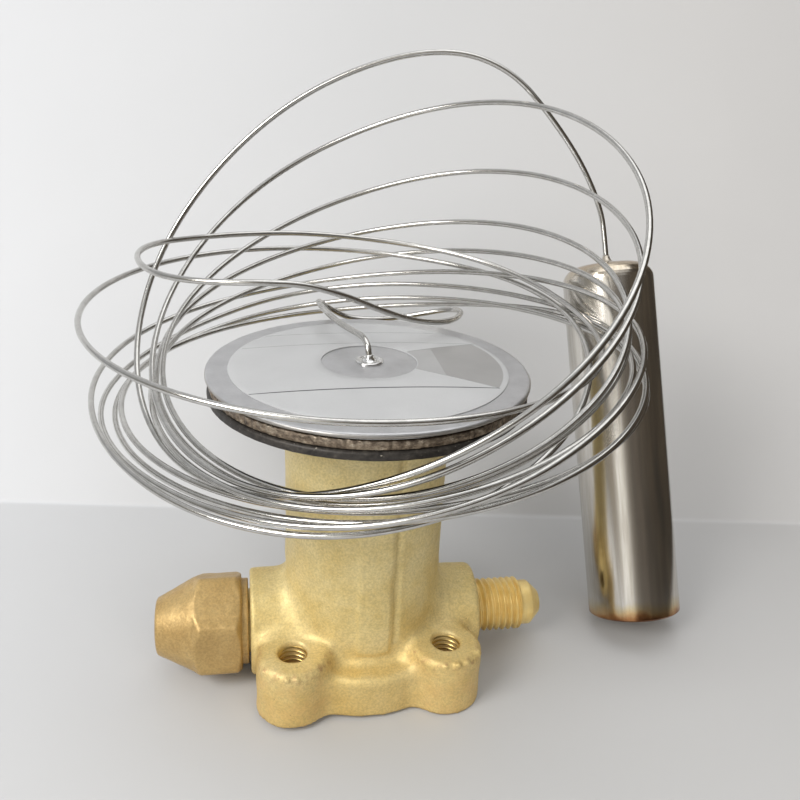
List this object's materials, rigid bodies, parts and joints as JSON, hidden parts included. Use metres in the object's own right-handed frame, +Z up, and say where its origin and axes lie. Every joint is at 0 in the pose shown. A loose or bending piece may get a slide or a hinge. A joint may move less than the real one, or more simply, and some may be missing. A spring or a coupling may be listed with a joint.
{
  "type": "thermostatic expansion valve",
  "caption": "Thermostatic expansion valve head: flanged brass housing, side setting spindle under a hexagon cap, flare stub, welded diaphragm head, coiled capillary and sensing bulb.",
  "frame": {"origin": "centre of the flange's underside, where the valve axis meets it", "axes": "+Z up the valve axis towards the diaphragm head; +X along the flare stub, away from the sealing cap"},
  "size_m": [0.1272, 0.1074, 0.1219],
  "materials": {
    "cast_brass": "matt, sand blasted",
    "turned_brass": "turned, bright",
    "head_steel": "satin",
    "dark_steel": "blackened, speckled",
    "weld_steel": "heat tinted",
    "spring_steel": "drawn",
    "stainless": "polished",
    "foil": "matt printed foil",
    "fibre": "moulded sealing ring",
    "rubber": "matt"
  },
  "bodies": {
    "valve": {"housing": "cast_brass", "lower_plate": "dark_steel", "weld_ring": "weld_steel", "diaphragm": "stainless", "head_cover": "head_steel", "label_foil": "foil", "centre_washer": "head_steel", "rod_guide": "turned_brass", "guide_ring": "spring_steel", "thrust_washer": "spring_steel", "gland_packing": "fibre", "gland_nut": "turned_brass", "superheat_spring": "spring_steel", "bulb_shell": "stainless", "bulb_end_plug": "weld_steel", "bulb_neck": "weld_steel", "capillary_tube": "stainless"},
    "setting_spindle": {"setting_spindle": "head_steel", "spindle_clip": "spring_steel"},
    "crown_gear": {"crown_gear": "turned_brass"},
    "spring_seat": {"spring_seat": "turned_brass"},
    "push_rod": {"diaphragm_pad": "turned_brass", "push_rod": "stainless"},
    "cap_seal": {"cap_gasket": "fibre"},
    "cap": {"cap": "cast_brass"}
  },
  "joints": [
    {"name": "setting_turn", "type": "hinge", "parent": "valve", "child": "setting_spindle", "pos_m": [-0.02, 0, 0.009], "axis": [1, 0, 0], "range_deg": [-1445, 1445]},
    {"name": "gear_turn", "type": "hinge", "parent": "valve", "child": "crown_gear", "pos_m": [0, 0, 0.014], "axis": [0, 0, 1], "range_deg": [-482, 482]},
    {"name": "seat_lift", "type": "slide", "parent": "valve", "child": "spring_seat", "axis": [0, 0, 1], "range_m": [-0.002, 0.002], "deforming": ["superheat_spring"]},
    {"name": "rod_stroke", "type": "slide", "parent": "valve", "child": "push_rod", "axis": [0, 0, -1], "range_m": [0, 0.001], "stiffness_N_per_m": 6000},
    {"name": "cap_turn", "type": "hinge", "parent": "cap_seal", "child": "cap", "pos_m": [-0.03, 0, 0.009], "axis": [-1, 0, 0], "range_deg": [0, 2165]},
    {"name": "cap_off", "type": "slide", "parent": "valve", "child": "cap_seal", "axis": [-1, 0, 0], "range_m": [0, 0.009]}
  ],
  "couplings": [
    {"joint": "gear_turn", "follows": "seat_lift", "rad_per_m": 4188.8},
    {"joint": "setting_turn", "follows": "seat_lift", "rad_per_m": 12566},
    {"joint": "cap_turn", "follows": "cap_off", "rad_per_m": 4188.8}
  ]
}
